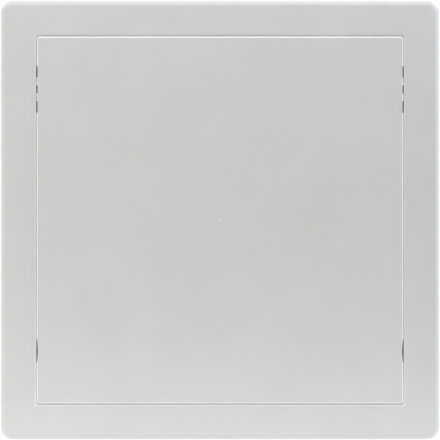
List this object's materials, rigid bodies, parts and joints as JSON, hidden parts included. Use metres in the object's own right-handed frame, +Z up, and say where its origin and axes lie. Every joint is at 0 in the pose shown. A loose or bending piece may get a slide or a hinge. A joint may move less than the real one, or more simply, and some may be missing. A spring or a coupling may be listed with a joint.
{
  "type": "ceiling access panel",
  "caption": "Square white flanged access panel with a flat door that drops open on sprung pivot bolts and snaps shut on side catches.",
  "frame": {"origin": "middle of the panel, on the plane of the flange's rear rim, which is the ceiling's surface", "axes": "+X to the right and +Z up the face as pictured, +Y from the face into the void; in a ceiling the face (-Y) looks down"},
  "size_m": [0.359, 0.0333, 0.359],
  "materials": {
    "white_plastic": "satin moulded white",
    "grey_plastic": "matte dark grey",
    "steel": "plated"
  },
  "bodies": {
    "frame": {"frame": "white_plastic", "catch_screw_left": "steel", "catch_screw_right": "steel"},
    "door": {"door_leaf": "white_plastic", "bolt_spring_left": "steel", "bolt_spring_right": "steel", "bolt_cover_left": "grey_plastic", "bolt_cover_right": "grey_plastic", "cover_screw_left_upper": "steel", "cover_screw_left_lower": "steel", "cover_screw_right_upper": "steel", "cover_screw_right_lower": "steel"},
    "bolt_left": {"pivot_bolt_left": "grey_plastic"},
    "bolt_right": {"pivot_bolt_right": "grey_plastic"},
    "catch_left": {"catch_clip_left": "grey_plastic"},
    "catch_right": {"catch_clip_right": "grey_plastic"}
  },
  "joints": [
    {"name": "door_swing", "type": "hinge", "parent": "frame", "child": "door", "pos_m": [0, 0.0027, 0.1072], "axis": [-1, 0, 0], "range_deg": [0, 95]},
    {"name": "bolt_left_slide", "type": "slide", "parent": "door", "child": "bolt_left", "axis": [1, 0, 0], "range_m": [0, 0.006], "stiffness_N_per_m": 250, "deforming": ["bolt_spring_left"]},
    {"name": "bolt_right_slide", "type": "slide", "parent": "door", "child": "bolt_right", "axis": [-1, 0, 0], "range_m": [0, 0.006], "stiffness_N_per_m": 250, "deforming": ["bolt_spring_right"]},
    {"name": "catch_left_flex", "type": "hinge", "parent": "frame", "child": "catch_left", "pos_m": [-0.15195, 0.0205, -0.1072], "axis": [0, 0, -1], "range_deg": [0, 3], "stiffness_Nm_per_rad": 2},
    {"name": "catch_right_flex", "type": "hinge", "parent": "frame", "child": "catch_right", "pos_m": [0.15195, 0.0205, -0.1072], "axis": [0, 0, 1], "range_deg": [0, 3], "stiffness_Nm_per_rad": 2}
  ]
}
